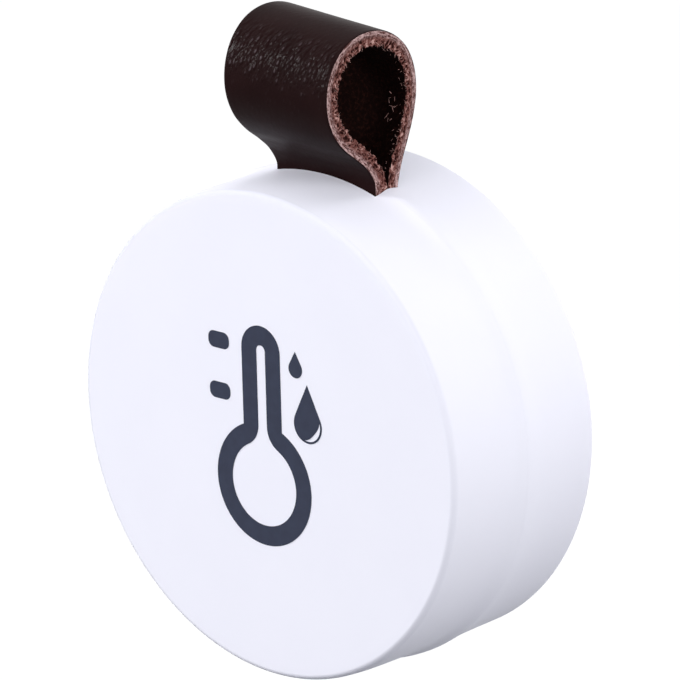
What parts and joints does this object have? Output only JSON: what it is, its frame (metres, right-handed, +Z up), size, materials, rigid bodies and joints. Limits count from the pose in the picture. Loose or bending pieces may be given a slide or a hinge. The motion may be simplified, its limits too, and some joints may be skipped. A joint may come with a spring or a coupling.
{
  "type": "digital hygrometer thermometer",
  "caption": "Round white wireless temperature and humidity sensor that hangs from a folded leather strap, with a printed sign on its face and a battery door in its back.",
  "frame": {"origin": "centre of the flat back face", "axes": "+Y out of the back, so the printed face looks along -Y; +Z up as the object hangs, with the strap at the top; +X to the right of the face"},
  "size_m": [0.0562, 0.023, 0.0737],
  "materials": {
    "white_plastic": "fine moulded satin",
    "slate_ink": "pad printed ink",
    "brown_leather": "pebbled satin with a raw cut edge",
    "screw_steel": "zinc plated",
    "pin_steel": "ground",
    "board_laminate": "green solder mask",
    "chip_black": "moulded epoxy",
    "crystal_can": "plated can",
    "antenna_ceramic": "fired ceramic",
    "capacitor_ceramic": "fired ceramic",
    "holder_plastic": "moulded",
    "contact_nickel": "nickel plated spring steel",
    "cell_steel": "bright nickel plated steel",
    "gasket_foam": "closed cell foam",
    "filter_white": "white filter sheet"
  },
  "bodies": {
    "root": {"front_shell": "white_plastic", "rear_shell": "white_plastic", "battery_door": "white_plastic", "leather_strap": "brown_leather", "strap_pin_left": "pin_steel", "strap_pin_right": "pin_steel", "casing_screw_1": "screw_steel", "casing_screw_2": "screw_steel", "casing_screw_3": "screw_steel", "door_screw": "screw_steel", "circuit_board": "board_laminate", "radio_chip": "chip_black", "radio_crystal": "crystal_can", "clock_crystal": "crystal_can", "chip_antenna": "antenna_ceramic", "decoupling_capacitor_1": "capacitor_ceramic", "decoupling_capacitor_2": "capacitor_ceramic", "decoupling_capacitor_3": "capacitor_ceramic", "decoupling_capacitor_4": "capacitor_ceramic", "pull_up_resistor_1": "chip_black", "pull_up_resistor_2": "chip_black", "pull_up_resistor_3": "chip_black", "bulk_capacitor": "capacitor_ceramic", "humidity_sensor": "chip_black", "sensor_gasket": "gasket_foam", "vent_membrane": "filter_white", "battery_holder": "holder_plastic", "positive_contact": "contact_nickel", "negative_contact": "contact_nickel", "coin_cell": "cell_steel", "sign_thermometer": "slate_ink", "sign_upper_dash": "slate_ink", "sign_lower_dash": "slate_ink", "sign_small_drop": "slate_ink", "sign_large_drop": "slate_ink"}
  },
  "joints": []
}
